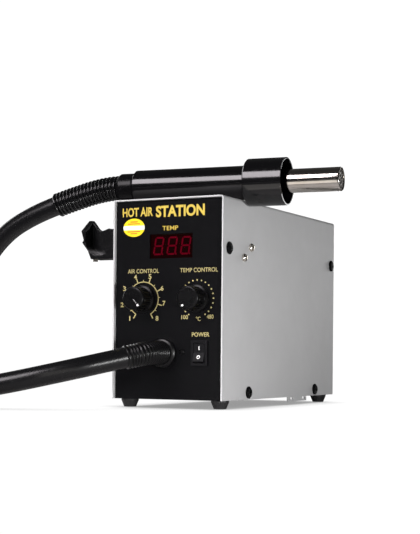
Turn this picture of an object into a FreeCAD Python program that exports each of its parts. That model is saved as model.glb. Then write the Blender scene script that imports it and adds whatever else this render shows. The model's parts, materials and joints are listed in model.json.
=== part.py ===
import FreeCAD, Part
import math
import os
import re
import Sketcher

# Hot air station: a steel case with a diaphragm air pump, and a hot air handle on a hose.
# Millimetres, +Z up, +X to the right and +Y to the back of the case. The station stands on Z = 0.
# Places are written from the case's own corner of reference: x from its middle, y from the
# cover's front edge, z from the floor. case_x and case_y move that to the model's origin,
# which is the middle of the footprint.

Vector = FreeCAD.Vector
doc = FreeCAD.newDocument("HotAirStation")

SIZES = {
    # where the case stands in the model's frame
    "case_x": -15.5, "case_y": -117.5,
    # the case
    "case_wide": 104, "case_high": 168, "case_deep": 245, "foot_high": 7,
    "skin": 1.2, "inset": 3, "slip": 0.2, "corner": 2.5,
    "tab_y": 135, "tab_long": 43, "tab_high": 4,
    # the front panel
    "air_x": -24, "temp_x": 27, "dial_z": 91, "window_x": 2, "window_z": 135,
    "window_wide": 40.6, "window_high": 20.2, "switch_x": 30, "switch_z": 46,
    "outlet_x": -4.5, "outlet_z": 46, "lock_x": 13.3, "lock_z": 47,
    # knobs and their controls
    "skirt_r": 11.4, "knob_r": 9.8, "knob_high": 17.7, "shaft_r": 3, "fit": 0.05,
    "bush_r": 3.5, "pot_r": 8,
    # power switch
    "bezel_wide": 15, "bezel_high": 21, "rocker_wide": 10, "rocker_r": 8, "pivot_r": 1.2,
    # screws
    "screw_head_r": 5.2, "screw_r": 2, "nickel_head_r": 3.4, "nickel_r": 1.5,
    "screw_y_front": 11, "screw_y_rear": 237, "screw_z_high": 132.5,
    "screw_y_low_front": 50.5, "screw_y_low_rear": 197.5, "screw_z_low": 13,
    "peg_y_rear": 53, "peg_z_high": 136, "peg_y_front": 39.5, "peg_z_low": 126.5,
    # feet
    "foot_x": 43, "foot_y_front": 15, "foot_y_rear": 229, "foot_r": 7.5, "foot_tip_r": 5.2,
    # cradle on the left side
    "cradle_y": 31, "cradle_long": 17, "cradle_wall": 4, "cradle_slope": 38,
    "trough_x": -85.6, "trough_z": 146, "trough_r": 14.5, "ear_x": -18.7, "ear_z": 164,
    # handle: it lies across the top, its nose a little to the back
    "handle_y": 38, "handle_gap": 0.3, "handle_turn": 6, "barrel_r": 14.5, "barrel_back": -49.8,
    "barrel_front": 54.5, "bore_r": 12, "sleeve_r": 20, "sleeve_end": 88.2, "sleeve_wall": 1.3,
    "tube_r": 10, "tube_wall": 0.6, "tube_end": 135, "tube_back": 42, "tube_step": 0.25,
    "seat_long": 44, "collar_r": 12.2, "collar_back": -64.8,
    # hose
    "hose_r": 8.5, "relief_r": 9.6, "coil_x": -330, "coil_y": -25, "coil_r": 85,
    # pump
    "pump_y": 92, "pump_floor": 18.2, "arm_y": 143, "arm_z": 24, "pin_r": 2,
    # mains side
    "inlet_x": 24, "inlet_z": 40, "fuse_x": -28, "fuse_z": 40,
}

sheet = doc.addObject("Spreadsheet::Sheet", "Sizes")
for row, (alias, size) in enumerate(SIZES.items(), start=1):
    sheet.set(f"A{row}", alias)
    sheet.set(f"B{row}", str(size))
    sheet.setAlias(f"B{row}", alias)
doc.recompute()

parts = {}
WORD = re.compile(r"[a-z][a-z_]*")
TURN_TO = {
    "x": FreeCAD.Rotation(Vector(0, 1, 0), 90),
    "-x": FreeCAD.Rotation(Vector(0, 1, 0), -90),
    "y": FreeCAD.Rotation(Vector(1, 0, 0), -90),
    "-y": FreeCAD.Rotation(Vector(1, 0, 0), 90),
    "z": FreeCAD.Rotation(),
    "-z": FreeCAD.Rotation(Vector(1, 0, 0), 180),
}


def rule(text):
    """An expression for FreeCAD, with each word that is in the sheet read from the sheet."""
    return WORD.sub(lambda w: "Sizes." + w.group() if w.group() in SIZES else w.group(), str(text))


def value(text):
    """The number that a rule gives now."""
    names = WORD.findall(str(text))
    total = str(text)
    for name in sorted(set(names), key=len, reverse=True):
        total = re.sub(rf"\b{name}\b", f"({float(sheet.get(name))})", total)
    return FreeCAD.Units.Quantity(total).Value


def bind(thing, **rules):
    """Tie properties of an object to the sheet."""
    for name, text in rules.items():
        thing.setExpression(name, rule(text))


def put(thing, x, y, z, toward="z"):
    """Place an object from the case's reference corner, with its own Z turned to an axis."""
    thing.Placement = FreeCAD.Placement(Vector(), TURN_TO[toward])
    thing.setExpression("Placement.Base.x", rule(f"case_x + ({x})"))
    thing.setExpression("Placement.Base.y", rule(f"case_y + ({y})"))
    thing.setExpression("Placement.Base.z", rule(f"{z}"))
    return thing


def box(x0, x1, y0, y1, z0, z1):
    block = doc.addObject("Part::Box", "block")
    bind(block, Length=f"({x1}) - ({x0})", Width=f"({y1}) - ({y0})", Height=f"({z1}) - ({z0})")
    return put(block, x0, y0, z0)


def rod(x, y, z, toward, radius, length):
    cylinder = doc.addObject("Part::Cylinder", "rod")
    bind(cylinder, Radius=radius, Height=length)
    return put(cylinder, x, y, z, toward)


def hexagon(x, y, z, toward, radius, length):
    prism = doc.addObject("Part::Prism", "hexagon")
    prism.Polygon = 6
    bind(prism, Circumradius=radius, Height=length)
    return put(prism, x, y, z, toward)


def join(*things):
    fuse = doc.addObject("Part::MultiFuse", "join")
    fuse.Shapes = list(things)
    fuse.Refine = True
    return fuse


def group(*things):
    compound = doc.addObject("Part::Compound", "group")
    compound.Links = list(things)
    return compound


def cut(base, *tools):
    cutting = doc.addObject("Part::Cut", "cut")
    cutting.Base = base
    cutting.Tool = tools[0] if len(tools) == 1 else join(*tools)
    return cutting


def keep(label, thing):
    """Name a finished sub-part: its label is its file's name."""
    thing.Label = label
    parts[label] = thing
    return thing


def sketch_of(body, role, points, name="outline"):
    """A closed sketch on one of the body's own planes, each corner held by two dimensions."""
    sketch = body.newObject("Sketcher::SketchObject", name)
    plane = [face for face in body.Origin.OriginFeatures if face.Role == role][0]
    sketch.AttachmentSupport = (plane, [""])
    sketch.MapMode = "FlatFace"
    corners = [Vector(value(across), value(up), 0) for across, up in points]
    for i, corner in enumerate(corners):
        sketch.addGeometry(Part.LineSegment(corner, corners[(i + 1) % len(corners)]))
    for i in range(len(corners)):
        sketch.addConstraint(Sketcher.Constraint("Coincident", i, 2, (i + 1) % len(corners), 1))
    for i, (across, up) in enumerate(points):
        for kind, text in (("DistanceX", across), ("DistanceY", up)):
            number = sketch.addConstraint(Sketcher.Constraint(kind, -1, 1, i, 1, value(text)))
            if WORD.search(str(text)):
                sketch.setExpression(f"Constraints[{number}]", rule(text))
    return sketch


def turned(points):
    """A body turned about its own Z from (radius, height) corners."""
    body = doc.addObject("PartDesign::Body", "turned")
    sketch = sketch_of(body, "XZ_Plane", points)
    turn = body.newObject("PartDesign::Revolution", "turn")
    turn.Profile = sketch
    turn.ReferenceAxis = (sketch, ["V_Axis"])
    turn.Angle = 360
    body.Tip = turn
    return body


def pressed(role, points, length, midplane=False):
    """A body padded from corners on one of its own planes."""
    body = doc.addObject("PartDesign::Body", "pressed")
    pad = body.newObject("PartDesign::Pad", "pad")
    pad.Profile = sketch_of(body, role, points)
    pad.Midplane = midplane
    pad.setExpression("Length", rule(length))
    body.Tip = pad
    return body


def rounded(thing, radius, wanted):
    """Round the edges of an object that a test picks out."""
    doc.recompute()
    fillet = doc.addObject("Part::Fillet", "rounded")
    fillet.Base = thing
    edges = enumerate(thing.Shape.Edges, start=1)
    fillet.Edges = [(number, radius, radius) for number, edge in edges if wanted(edge)]
    return fillet


def runs_along(edge, axis):
    """Whether an edge is straight and runs along an axis."""
    if not isinstance(edge.Curve, Part.Line):
        return False
    return abs(edge.Curve.Direction.dot(axis)) > 0.999


# ---- the case ------------------------------------------------------------------------------

TOP = "(foot_high + case_high)"
SIDE_SCREWS = [
    ("screw_y_front", "screw_z_high"),
    ("screw_y_rear", "screw_z_high"),
    ("screw_y_low_front", "screw_z_low"),
    ("screw_y_low_rear", "screw_z_low"),
]
PEGS = [("peg_y_rear", "peg_z_high"), ("peg_y_front", "peg_z_low")]
FEET = [(side, y) for side in ("-foot_x", "foot_x") for y in ("foot_y_front", "foot_y_rear")]


def make_cover():
    """The folded steel cover: a roof and two sides, open at the front, back and bottom."""
    half = "case_wide/2"
    inner = "(case_wide/2 - skin)"
    outline = [
        (half, "foot_high"), (half, TOP), (f"-{half}", TOP), (f"-{half}", "foot_high"),
        (f"-{inner}", "foot_high"), (f"-{inner}", f"{TOP} - skin"), (inner, f"{TOP} - skin"),
        (inner, "foot_high"),
    ]
    # the XZ plane faces -Y, so a plain pad comes forward from the rear edge
    fold = pressed("XZ_Plane", outline, "case_deep")
    put(fold, 0, "case_deep", 0)

    def outer_fold(edge):
        ends = edge.BoundBox
        top = value(TOP)
        return runs_along(edge, Vector(0, 1, 0)) and abs(ends.ZMin - top) < 0.01

    body = rounded(fold, value("corner"), outer_fold)
    # a slotted tab hangs from the right side's lower edge
    tab = box(inner, half, "tab_y", "tab_y + tab_long", "foot_high - tab_high", "foot_high")
    body = join(body, tab)
    across = [rod("-case_wide", y, z, "x", "screw_r + 0.2", "case_wide*2") for y, z in SIDE_SCREWS]
    across += [rod("-case_wide", y, z, "x", "nickel_r + 0.2", "case_wide*2") for y, z in PEGS]
    slots = [
        box("case_wide/4", "case_wide", y, f"{y} + 5", "foot_high - 2.2", "foot_high - 0.2")
        for y in ("tab_y + 6", "tab_y + tab_long - 9")
    ]
    return keep("cover", cut(body, *across, *slots))


def make_chassis():
    """The black tray: front panel, floor and rear panel folded from one sheet, with flanges."""
    wide = "(case_wide - 2*skin - 2*slip)"
    front = "inset"
    rear = "(case_deep - 2)"
    outline = [
        (f"{front}", "foot_high"), (f"{rear}", "foot_high"), (f"{rear}", f"{TOP} - skin - slip"),
        (f"{rear} - skin", f"{TOP} - skin - slip"), (f"{rear} - skin", "foot_high + skin"),
        (f"{front} + skin", "foot_high + skin"), (f"{front} + skin", f"{TOP} - skin - slip"),
        (f"{front}", f"{TOP} - skin - slip"),
    ]
    tray = pressed("YZ_Plane", outline, wide, midplane=True)
    put(tray, 0, 0, 0)

    flanges = []
    for side in (-1, 1):
        x0 = f"{side}*{wide}/2"
        x1 = f"{side}*({wide}/2 - skin)"
        low, high = (x0, x1) if side < 0 else (x1, x0)
        floor_z = "foot_high + skin"
        flanges.append(box(low, high, f"{front} + skin", f"{rear} - skin", floor_z, "foot_high + 13"))
        flanges.append(box(low, high, f"{front} + skin", f"{front} + 18", "124", "141"))
        flanges.append(box(low, high, f"{rear} - 18", f"{rear} - skin", "124", "141"))
    folded = join(tray, *flanges)

    window = box(
        "window_x - window_wide/2", "window_x + window_wide/2", 0, "inset + 5",
        "window_z - window_high/2", "window_z + window_high/2",
    )
    holes = [window]
    holes.append(box("switch_x - 6.6", "switch_x + 6.6", 0, 10, "switch_z - 9.6", "switch_z + 9.6"))
    holes += [rod(x, 0, "dial_z", "y", "bush_r + 0.2", 10) for x in ("air_x", "temp_x")]
    holes.append(rod("outlet_x", 0, "outlet_z", "y", "9.2", 10))
    holes.append(rod("lock_x", 0, "lock_z", "y", "1.6", 10))
    holes += [rod("-case_wide", y, z, "x", "screw_r + 0.1", "case_wide*2") for y, z in SIDE_SCREWS]
    holes += [rod(x, y, 0, "z", "1.6", 12) for x, y in FEET]
    rear_y = "case_deep - 10"
    holes.append(box(
        "inlet_x - 13.6", "inlet_x + 13.6", rear_y, "case_deep", "inlet_z - 10", "inlet_z + 10"))
    holes += [rod(f"inlet_x + {20*s}", rear_y, "inlet_z", "y", "1.6", 12) for s in (-1, 1)]
    holes.append(rod("fuse_x", rear_y, "fuse_z", "y", "6.2", 12))
    for step in range(-4, 5):
        x = 9*step
        holes.append(box(f"{x - 1.5}", f"{x + 1.5}", rear_y, "case_deep", "92", "150"))
    return keep("chassis", cut(folded, *holes))


def make_feet():
    """Rubber feet, each a cone with a recess for its screw, and the screws."""
    feet = []
    screws = []
    for x, y in FEET:
        foot = turned([
            ("1.6", "2.6"), ("3.2", "2.6"), ("3.2", "0"), ("foot_tip_r", "0"),
            ("foot_r", "foot_high - 1.4"), ("foot_r", "foot_high"), ("1.6", "foot_high"),
        ])
        feet.append(put(foot, x, y, 0))
        screws.append(join(rod(x, y, "0.9", "z", "2.9", "1.7"), rod(x, y, "2.6", "z", "1.5", "9")))
    keep("feet", group(*feet))
    keep("foot_screws", group(*screws))


def flat_screw(x, y, z, toward, head_r, head_high, shank_r, shank_long):
    """A screw with a domed head and a cross recess: its seat is at x, y, z under the head."""
    back = {"x": "-x", "-x": "x", "y": "-y", "-y": "y", "z": "-z"}[toward]
    crown = turned([
        ("0", "0"), (head_r, "0"), (head_r, f"0.45*({head_high})"),
        (f"0.72*({head_r})", f"0.9*({head_high})"), ("0", head_high),
    ])
    put(crown, x, y, z, toward)
    shank = rod(x, y, z, back, shank_r, shank_long)
    recess = []
    for wide, tall in ((0.95, 0.22), (0.22, 0.95)):
        slot = doc.addObject("Part::Box", "recess")
        deep = f"0.7*({head_high})"
        bind(slot, Length=f"{wide}*({head_r})", Width=f"{tall}*({head_r})", Height=deep)
        slot.Placement = FreeCAD.Placement(Vector(), TURN_TO[toward])
        corner = TURN_TO[toward].multVec(Vector(-wide/2, -tall/2, 0))
        lift = TURN_TO[toward].multVec(Vector(0, 0, 1))
        for axis, base, c, up in zip("xyz", (x, y, z), corner, lift):
            shift = {"x": "case_x + ", "y": "case_y + ", "z": ""}[axis]
            step = f"({round(c, 6)})*({head_r}) + ({round(up, 6)})*0.55*({head_high})"
            slot.setExpression(f"Placement.Base.{axis}", rule(f"{shift}({base}) + {step}"))
        recess.append(slot)
    return cut(join(crown, shank), *recess)


def make_case_screws():
    black = []
    for toward, x in (("x", "case_wide/2"), ("-x", "-case_wide/2")):
        for y, z in SIDE_SCREWS:
            black.append(flat_screw(x, y, z, toward, "screw_head_r", "2.2", "screw_r", "8"))
    keep("cover_screws", group(*black))
    bright = [
        flat_screw("case_wide/2", y, z, "x", "nickel_head_r", "2.8", "nickel_r", "7")
        for y, z in PEGS
    ]
    keep("spare_cradle_screws", group(*bright))


def make_display():
    """A red filter behind the window, and the digit block on its little board."""
    back = "inset + skin"
    keep("display_filter", box(
        "window_x - 24", "window_x + 24", back, f"{back} + 1.5", "window_z - 13", "window_z + 13"))
    block = box(
        "window_x - 19.2", "window_x + 19.2", f"{back} + 1.5", f"{back} + 9", "window_z - 9.5",
        "window_z + 9.5")
    keep("display_digits", block)
    keep("display_board", box(
        "window_x - 26", "window_x + 26", f"{back} + 9", f"{back} + 10.6", "window_z - 16",
        "window_z + 16"))


def make_control(name, x):
    """One dial: the pot with its bush and nut, and the shaft and knob that turn in it."""
    back = "inset + skin"
    can = join(
        rod(x, back, "dial_z", "y", "pot_r", "9"),
        rod(x, "-0.6", "dial_z", "y", "bush_r", "8"),
        box(f"{x} - 7", f"{x} + 7", f"{back} + 1", f"{back} + 2.2", "dial_z - 14", "dial_z"),
    )
    keep(f"{name}_pot", cut(can, rod(x, "-2", "dial_z", "y", "shaft_r + fit", "12")))
    keep(f"{name}_shaft", rod(x, "-12", "dial_z", "y", "shaft_r", "21.5"))
    nut = cut(
        hexagon(x, "0.8", "dial_z", "y", "5.6", "2.2"),
        rod(x, "0", "dial_z", "y", "bush_r", "5"),
    )

    cap = turned([
        ("0", "knob_high"), ("knob_r - 1.2", "knob_high"), ("knob_r - 0.5", "knob_high - 0.7"),
        ("knob_r", "3"), ("skirt_r - 0.3", "3"), ("skirt_r", "2.2"), ("skirt_r", "0"),
        ("7", "0"), ("7", "4.6"), ("shaft_r", "4.6"), ("shaft_r", "14.7"), ("0", "14.7"),
    ])
    groove = sketch_of(cap, "XY_Plane", [
        ("knob_r - 0.75", "0"), ("knob_r + 0.4", "0.75"), ("skirt_r + 2", "0.75"),
        ("skirt_r + 2", "-0.75"), ("knob_r + 0.4", "-0.75"),
    ], "flute")
    groove.AttachmentOffset = FreeCAD.Placement(Vector(0, 0, 3.4), FreeCAD.Rotation())
    flute = cap.newObject("PartDesign::Pocket", "flute_cut")
    flute.Profile = groove
    flute.Reversed = True
    flute.Length = 30
    ring = cap.newObject("PartDesign::PolarPattern", "flutes")
    ring.Originals = [flute]
    ring.Axis = (groove, ["N_Axis"])
    ring.Angle = 360
    ring.Occurrences = 18
    cap.Tip = ring
    keep(f"{name}_knob", put(cap, x, "inset - 0.3", "dial_z", "-y"))
    return nut


def make_switch():
    """The power switch: a framed housing snapped into the panel, and its rocker."""
    y_front = "inset - 1.8"
    pivot_y = "inset"
    housing = join(
        box("switch_x - bezel_wide/2", "switch_x + bezel_wide/2", y_front, "inset",
            "switch_z - bezel_high/2", "switch_z + bezel_high/2"),
        box("switch_x - 6.5", "switch_x + 6.5", "inset", "inset + 19", "switch_z - 9.5",
            "switch_z + 9.5"),
    )
    pocket = box("switch_x - rocker_wide/2 - 0.3", "switch_x + rocker_wide/2 + 0.3",
                 f"{y_front} - 1", "inset + 12", "switch_z - 8.4", "switch_z + 8.4")
    sockets = rod("switch_x - 6.2", pivot_y, "switch_z", "x", "pivot_r + fit", "12.4")
    keep("switch_housing", cut(housing, pocket, sockets))
    blades = [
        box(f"switch_x - 3.2", "switch_x + 3.2", "inset + 19", "inset + 27", f"switch_z + {z - 0.4}",
            f"switch_z + {z + 0.4}") for z in (-6, 6)
    ]
    keep("switch_terminals", group(*blades))

    # the rocker's ends are round about its pivot; its front is a shallow V
    drum = rod("switch_x - rocker_wide/2", pivot_y, "switch_z", "x", "rocker_r", "rocker_wide")
    front = pressed("YZ_Plane", [
        ("-2.8", "-7.6"), ("-1.5", "0"), ("-2.8", "7.6"), ("-12", "7.6"), ("-12", "-7.6"),
    ], "rocker_wide + 2", midplane=True)
    put(front, "switch_x", pivot_y, "switch_z")
    back = box("switch_x - 8", "switch_x + 8", "inset + 4.5", "inset + 12", "switch_z - 12",
               "switch_z + 12")
    pins = rod("switch_x - 6.1", pivot_y, "switch_z", "x", "pivot_r", "12.2")
    tilted = join(cut(drum, front, back), pins)
    # at rest it is on: the upper end is pressed in, the lower end stands proud
    doc.recompute()
    rocker = doc.addObject("Part::Feature", "rocker")
    rocker.Shape = tilted.Shape.copy()
    pivot = Vector(value("case_x + switch_x"), value("case_y + inset"), value("switch_z"))
    about_pivot = FreeCAD.Placement(Vector(), FreeCAD.Rotation(Vector(1, 0, 0), -10), pivot)
    rocker.Placement = about_pivot
    keep("switch_rocker", rocker)


def make_outlet():
    """The hose gland in the front panel, its nut, and the small screw beside it."""
    gland = turned([
        ("5", "-12"), ("9", "-12"), ("9", "0"), ("12.3", "0"), ("12.3", "2.4"), ("11.2", "3.6"),
        ("10", "4"), ("5", "4"),
    ])
    keep("hose_gland", put(gland, "outlet_x", "inset", "outlet_z", "-y"))
    nut = cut(
        hexagon("outlet_x", "inset + skin", "outlet_z", "y", "12.6", "4"),
        rod("outlet_x", "inset", "outlet_z", "y", "9", "8"),
    )
    keep("gland_nut", nut)
    keep("gland_lock_screw", flat_screw("lock_x", "inset", "lock_z", "-y", "2.7", "1.9", "1.5", "7"))


def make_cradle():
    """The plastic rest for the handle on the left side: a short trough and a notched back wall."""
    side = "-case_wide/2"
    back = "cradle_y + cradle_long"
    wall = f"{back} - cradle_wall"
    outline = [
        (f"{side}", "120"), (f"{side}", "156"), ("trough_x + 5", "156"), ("trough_x + 2", "156.6"),
        ("trough_x - 2", "155.2"), ("trough_x - 6", "154.2"), ("trough_x - 9.5", "156.5"),
        ("trough_x - 13", "161"), ("trough_x - 15.5", "ear_z"), ("trough_x + ear_x", "ear_z"),
        ("trough_x + ear_x", "153.7"), ("trough_x - 16.2", "145.6"), ("trough_x - 17.7", "143.4"),
        ("trough_x - 11.7", "135.9"), ("trough_x - 8.5", "128.5"), (f"{side} - 3", "128.5"),
        (f"{side} - 3", "120"),
    ]
    block = pressed("XZ_Plane", outline, "cradle_long")
    put(block, 0, back, 0)
    flange = box(f"{side} - 3", side, "cradle_y", "60", "120", "156")
    trough = rod("trough_x", "cradle_y - 1", "trough_z", "y", "trough_r", f"{wall} - cradle_y + 1")
    mouth = box("trough_x - trough_r", "trough_x + trough_r", "cradle_y - 1", wall,
                "trough_z", "trough_z + 40")
    # the outer wall's top slopes down to the front
    slope = doc.addObject("Part::Box", "slope")
    bind(slope, Length="30", Width="60", Height="30")
    tilt = FreeCAD.Rotation(Vector(1, 0, 0), value("cradle_slope"))
    slope.Placement = FreeCAD.Placement(Vector(), tilt)
    slope.setExpression("Placement.Base.x", rule("case_x + trough_x - 40"))
    slope.setExpression("Placement.Base.y", rule("case_y + cradle_y"))
    slope.Placement.Base.z = 153.7
    shoulder = box("trough_x + 12", f"{side} - 3", "cradle_y - 1", wall, "152", "170")
    recess = box(f"{side} - 16", f"{side} - 3", "peg_y_front - 5", "peg_y_front + 5", "110", "131")
    holes = [rod(f"{side} - 5", y, z, "x", "nickel_r + 0.1", "8") for y, z in PEGS]
    stud_x = "trough_x - 6"
    stud_y = "cradle_y + 4"
    stud_hole = rod(stud_x, stud_y, "127", "z", "1.5", "4.5")
    rest = cut(join(block, flange), trough, mouth, slope, shoulder, recess, stud_hole, *holes)
    keep("cradle", rest)
    screws = [
        flat_screw(f"{side} - 3", y, z, "-x", "nickel_head_r", "2.4", "nickel_r", "9")
        for y, z in PEGS
    ]
    keep("cradle_screws", group(*screws))
    stud = join(
        rod(stud_x, stud_y, "128.5", "z", "1.5", "3"),
        rod(stud_x, stud_y, "128.5", "-z", "2.4", "2"),
    )
    keep("cradle_stud", stud)


# ---- inside the case -----------------------------------------------------------------------

def make_pump():
    """A diaphragm pump: a coil shakes a hinged arm, and the arm works a rubber disc."""
    floor = "foot_high + skin"
    mounts = []
    for x in (-32, 32):
        for y in (6, 88):
            mounts.append(rod(x, f"pump_y + {y}", floor, "z", "5", f"pump_floor - ({floor})"))
    keep("pump_mounts", group(*mounts))
    plate = box("-38", "38", "pump_y", "pump_y + 96", "pump_floor", "pump_floor + 2")
    ears = []
    for x0, x1 in (("-10", "-7"), ("7", "10")):
        ears.append(box(x0, x1, "arm_y - 4", "arm_y + 4", "pump_floor + 2", "arm_z + 5"))
    pin_hole = rod("-12", "arm_y", "arm_z", "x", "pin_r", "24")
    keep("pump_plate", cut(join(plate, *ears), pin_hole))
    keep("arm_pin", rod("-11", "arm_y", "arm_z", "x", "pin_r", "22"))

    core = cut(
        box("-22", "22", "pump_y + 2", "pump_y + 44", "pump_floor + 2", "pump_floor + 48"),
        box("-30", "30", "pump_y + 16", "pump_y + 45", "pump_floor + 11", "pump_floor + 19"),
        box("-30", "30", "pump_y + 16", "pump_y + 45", "pump_floor + 31", "pump_floor + 39"),
    )
    keep("pump_core", core)
    winding = cut(
        box("-29", "29", "pump_y + 17", "pump_y + 40", "pump_floor + 11.5", "pump_floor + 38.5"),
        box("-22.2", "22.2", "pump_y + 10", "pump_y + 45", "pump_floor + 18.8", "pump_floor + 31.2"),
    )
    keep("pump_winding", winding)

    bar = join(
        box("-6", "6", "arm_y - 2", "arm_y + 2", "arm_z", "arm_z + 44"),
        rod("-6", "arm_y", "arm_z", "x", "3.5", "12"),
    )
    keep("pump_arm", cut(bar, rod("-8", "arm_y", "arm_z", "x", "pin_r + fit", "16")))
    keep("pump_magnet", box("-9", "9", "arm_y - 5", "arm_y - 2", "arm_z + 12", "arm_z + 28"))
    keep("pump_diaphragm", rod("0", "arm_y + 5", "arm_z + 28", "y", "18", "2.5"))
    head = cut(
        box("-26", "26", "arm_y + 7.5", "arm_y + 40", "pump_floor + 2", "arm_z + 52"),
        rod("0", "arm_y + 7.5", "arm_z + 28", "y", "15", "10"),
        rod("-28", "arm_y + 24", "arm_z + 28", "x", "3", "20"),
    )
    keep("pump_head", head)
    spout = cut(
        rod("-26", "arm_y + 24", "arm_z + 28", "-x", "4", "12"),
        rod("-20", "arm_y + 24", "arm_z + 28", "-x", "2.6", "30"),
    )
    keep("pump_spout", spout)


def make_electronics():
    """The control board on two brackets, with the large components on it."""
    floor = "foot_high + skin"
    brackets = []
    for x0, x1 in (("-44", "-36"), ("36", "44")):
        brackets.append(join(
            box(x0, x1, "55", "56.5", floor, "96"),
            box(x0, x1, "42", "55", floor, f"{floor} + 1.5"),
        ))
    keep("board_brackets", group(*brackets))
    keep("control_board", box("-46", "46", "56.5", "58.1", "72", "156"))
    face = "58.1"
    transformer = box("-40", "-10", face, "84", "112", "146")
    relay = box("2", "18", face, "74", "124", "142")
    cans = [rod(x, face, z, "y", "5", "20") for x, z in ((26, 132), (38, 132), (26, 118))]
    chips = [box(x, f"{x} + 7", face, "61.5", "100", "108") for x in ("-36", "-22", "-8", "6")]
    triac = box("-30", "-20", face, "63", "78", "94")
    keep("board_components", group(transformer, relay, triac, *cans, *chips))
    fins = [box(x, x + 1.5, "66", "88", "76", "98") for x in range(-40, -8, 5)]
    sink = join(box("-42", "-8", "63", "67", "76", "98"), *fins)
    keep("heat_sink", sink)


def make_mains_side():
    """The mains socket with its pins and screws, and the fuse holder with its cap."""
    rear = "(case_deep - 2)"
    socket = cut(
        join(
            box("inlet_x - 25", "inlet_x + 25", rear, f"{rear} + 2.6", "inlet_z - 12",
                "inlet_z + 12"),
            box("inlet_x - 13.5", "inlet_x + 13.5", f"{rear} - 22", rear, "inlet_z - 9.9",
                "inlet_z + 9.9"),
        ),
        box("inlet_x - 12", "inlet_x + 12", f"{rear} - 16", f"{rear} + 5", "inlet_z - 8",
            "inlet_z + 8"),
        *[rod(f"inlet_x + {20*s}", f"{rear} - 2", "inlet_z", "y", "1.6", 8) for s in (-1, 1)],
    )
    keep("mains_socket", socket)
    pins = [
        box(f"inlet_x + {x - 1}", f"inlet_x + {x + 1}", f"{rear} - 30", f"{rear} - 1",
            f"inlet_z + {z - 2}", f"inlet_z + {z + 2}")
        for x, z in ((-7, -2), (7, -2), (0, 2.5))
    ]
    keep("mains_pins", group(*pins))
    screws = [
        flat_screw(f"inlet_x + {20*s}", f"{rear} + 2.6", "inlet_z", "y", "2.8", "1.8", "1.5", "9")
        for s in (-1, 1)
    ]
    keep("socket_screws", group(*screws))
    holder = turned([
        ("4", "-20"), ("6", "-20"), ("6", "0"), ("8", "0"), ("8", "2"), ("4", "2"),
    ])
    keep("fuse_holder", put(holder, "fuse_x", rear, "fuse_z", "y"))
    cap = turned([
        ("0", "-12"), ("4 - fit", "-12"), ("4 - fit", "2.3"), ("6.6", "2.3"), ("6.6", "6"),
        ("5.8", "7"),
        ("0", "7"),
    ])
    put(cap, "fuse_x", rear, "fuse_z", "y")
    slot = box("fuse_x - 5", "fuse_x + 5", f"{rear} + 5.6", f"{rear} + 9", "fuse_z - 0.6",
               "fuse_z + 0.6")
    keep("fuse_cap", cut(cap, slot))


# ---- the handle ----------------------------------------------------------------------------

def handle_axis():
    """Where the handle's own zero is, and the way its nose points."""
    turn = math.radians(value("handle_turn"))
    nose = Vector(math.cos(turn), math.sin(turn), 0)
    middle = Vector(
        value("case_x"), value("case_y + handle_y"),
        value("foot_high + case_high + barrel_r + handle_gap"))
    return middle, nose


def on_handle(thing):
    """Lay a body, turned about its own Z, along the handle."""
    nose = handle_axis()[1]
    thing.Placement = FreeCAD.Placement(Vector(), FreeCAD.Rotation(Vector(0, 0, 1), nose))
    thing.setExpression("Placement.Base.x", rule("case_x"))
    thing.setExpression("Placement.Base.y", rule("case_y + handle_y"))
    lift = rule("foot_high + case_high + barrel_r + handle_gap")
    thing.setExpression("Placement.Base.z", lift)
    return thing


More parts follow.
